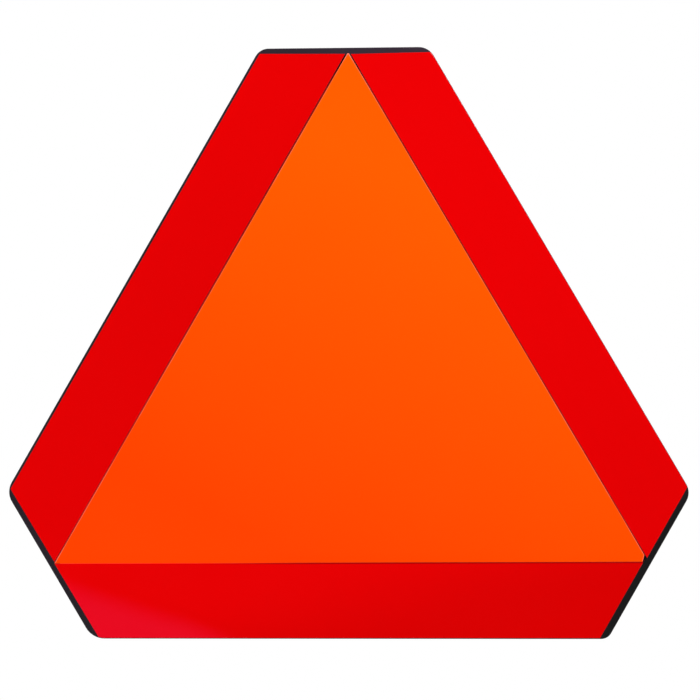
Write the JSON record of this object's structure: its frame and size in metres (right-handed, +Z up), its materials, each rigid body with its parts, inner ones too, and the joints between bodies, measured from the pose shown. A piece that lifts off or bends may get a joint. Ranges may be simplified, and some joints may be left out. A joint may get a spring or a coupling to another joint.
{
  "type": "slow moving vehicle sign",
  "caption": "Flat triangular plate with cut tips, carrying a fluorescent orange triangle of film bordered by red reflective strips.",
  "frame": {"origin": "point of the plate's back face that is equally far from the three long edges", "axes": "+Z up along the sign's height, +Y out of the back face, so the front looks towards -Y, and +X to the right as seen from the front"},
  "size_m": [0.4081, 0.0034, 0.3556],
  "materials": {
    "plate_plastic": "satin black sheet",
    "orange_film": "fluorescent orange film, smooth and glossy",
    "red_film": "red reflective film, smooth and glossy"
  },
  "bodies": {
    "root": {"backing_plate": "plate_plastic", "orange_triangle": "orange_film", "red_strip_left": "red_film", "red_strip_right": "red_film", "red_strip_bottom": "red_film"}
  },
  "joints": []
}
